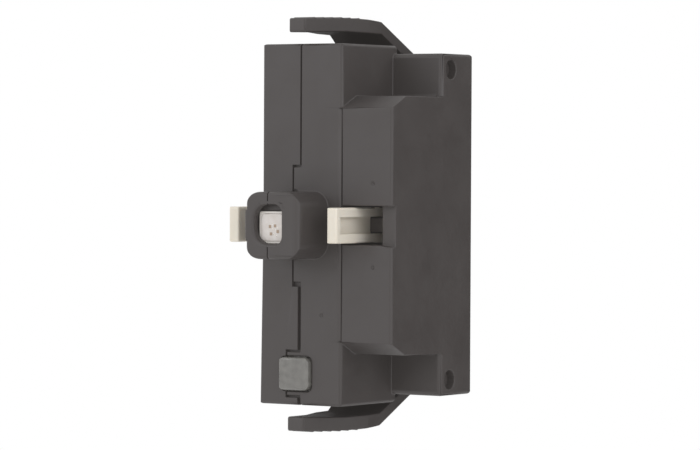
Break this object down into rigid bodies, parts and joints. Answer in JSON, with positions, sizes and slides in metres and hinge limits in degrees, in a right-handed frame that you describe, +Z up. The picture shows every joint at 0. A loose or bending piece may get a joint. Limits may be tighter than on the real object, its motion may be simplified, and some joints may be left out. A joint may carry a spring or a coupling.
{
  "type": "contact block with led",
  "caption": "Slim control-device contact block with a square lit collar between two push plungers, a diagnostic window, two latch levers and a rear plug socket.",
  "frame": {"origin": "where the LED axis meets the front plane of the nose", "axes": "+Z up along the block's height, +X to the right seen from the front, +Y into the block, the way the plungers are pushed"},
  "size_m": [0.0268, 0.0251, 0.0518],
  "materials": {
    "housing_plastic": "satin moulded",
    "plunger_plastic": "smooth moulded",
    "contact_silver": "rolled",
    "contact_strip": "stamped",
    "spring_steel": "drawn wire",
    "socket_plastic": "moulded",
    "board_laminate": "solder mask",
    "led_white": "moulded",
    "led_clear": "clear resin",
    "window_grey": "translucent moulded",
    "chip_epoxy": "moulded epoxy"
  },
  "bodies": {
    "block": {"housing": "housing_plastic", "cover": "housing_plastic", "return_spring_right": "spring_steel", "return_spring_left": "spring_steel", "nc_contact_right_upper": "contact_strip", "nc_contact_right_lower": "contact_strip", "no_contact_right_upper": "contact_strip", "no_contact_right_lower": "contact_strip", "nc_contact_left_upper": "contact_strip", "nc_contact_left_lower": "contact_strip", "no_contact_left_upper": "contact_strip", "no_contact_left_lower": "contact_strip", "socket_body": "socket_plastic", "circuit_board": "board_laminate", "led_pin_right": "contact_strip", "led_pin_left": "contact_strip", "led_body": "led_white", "led_lens": "led_clear", "diagnostic_window": "window_grey", "diagnostic_led": "led_white", "rectifier": "chip_epoxy", "control_chip": "chip_epoxy", "series_resistor_upper": "chip_epoxy", "series_resistor_lower": "chip_epoxy", "suppressor_diode": "chip_epoxy"},
    "slider_right": {"plunger_right": "plunger_plastic", "contact_bridge_right": "contact_silver"},
    "slider_left": {"plunger_left": "plunger_plastic", "contact_bridge_left": "contact_silver"}
  },
  "joints": [
    {"name": "plunger_right_push", "type": "slide", "parent": "block", "child": "slider_right", "axis": [0, 1, 0], "range_m": [0, 0.0035], "stiffness_N_per_m": 150, "springref_m": -0.004, "deforming": ["return_spring_right"]},
    {"name": "plunger_left_push", "type": "slide", "parent": "block", "child": "slider_left", "axis": [0, 1, 0], "range_m": [0, 0.0035], "stiffness_N_per_m": 150, "springref_m": -0.004, "deforming": ["return_spring_left"]}
  ]
}
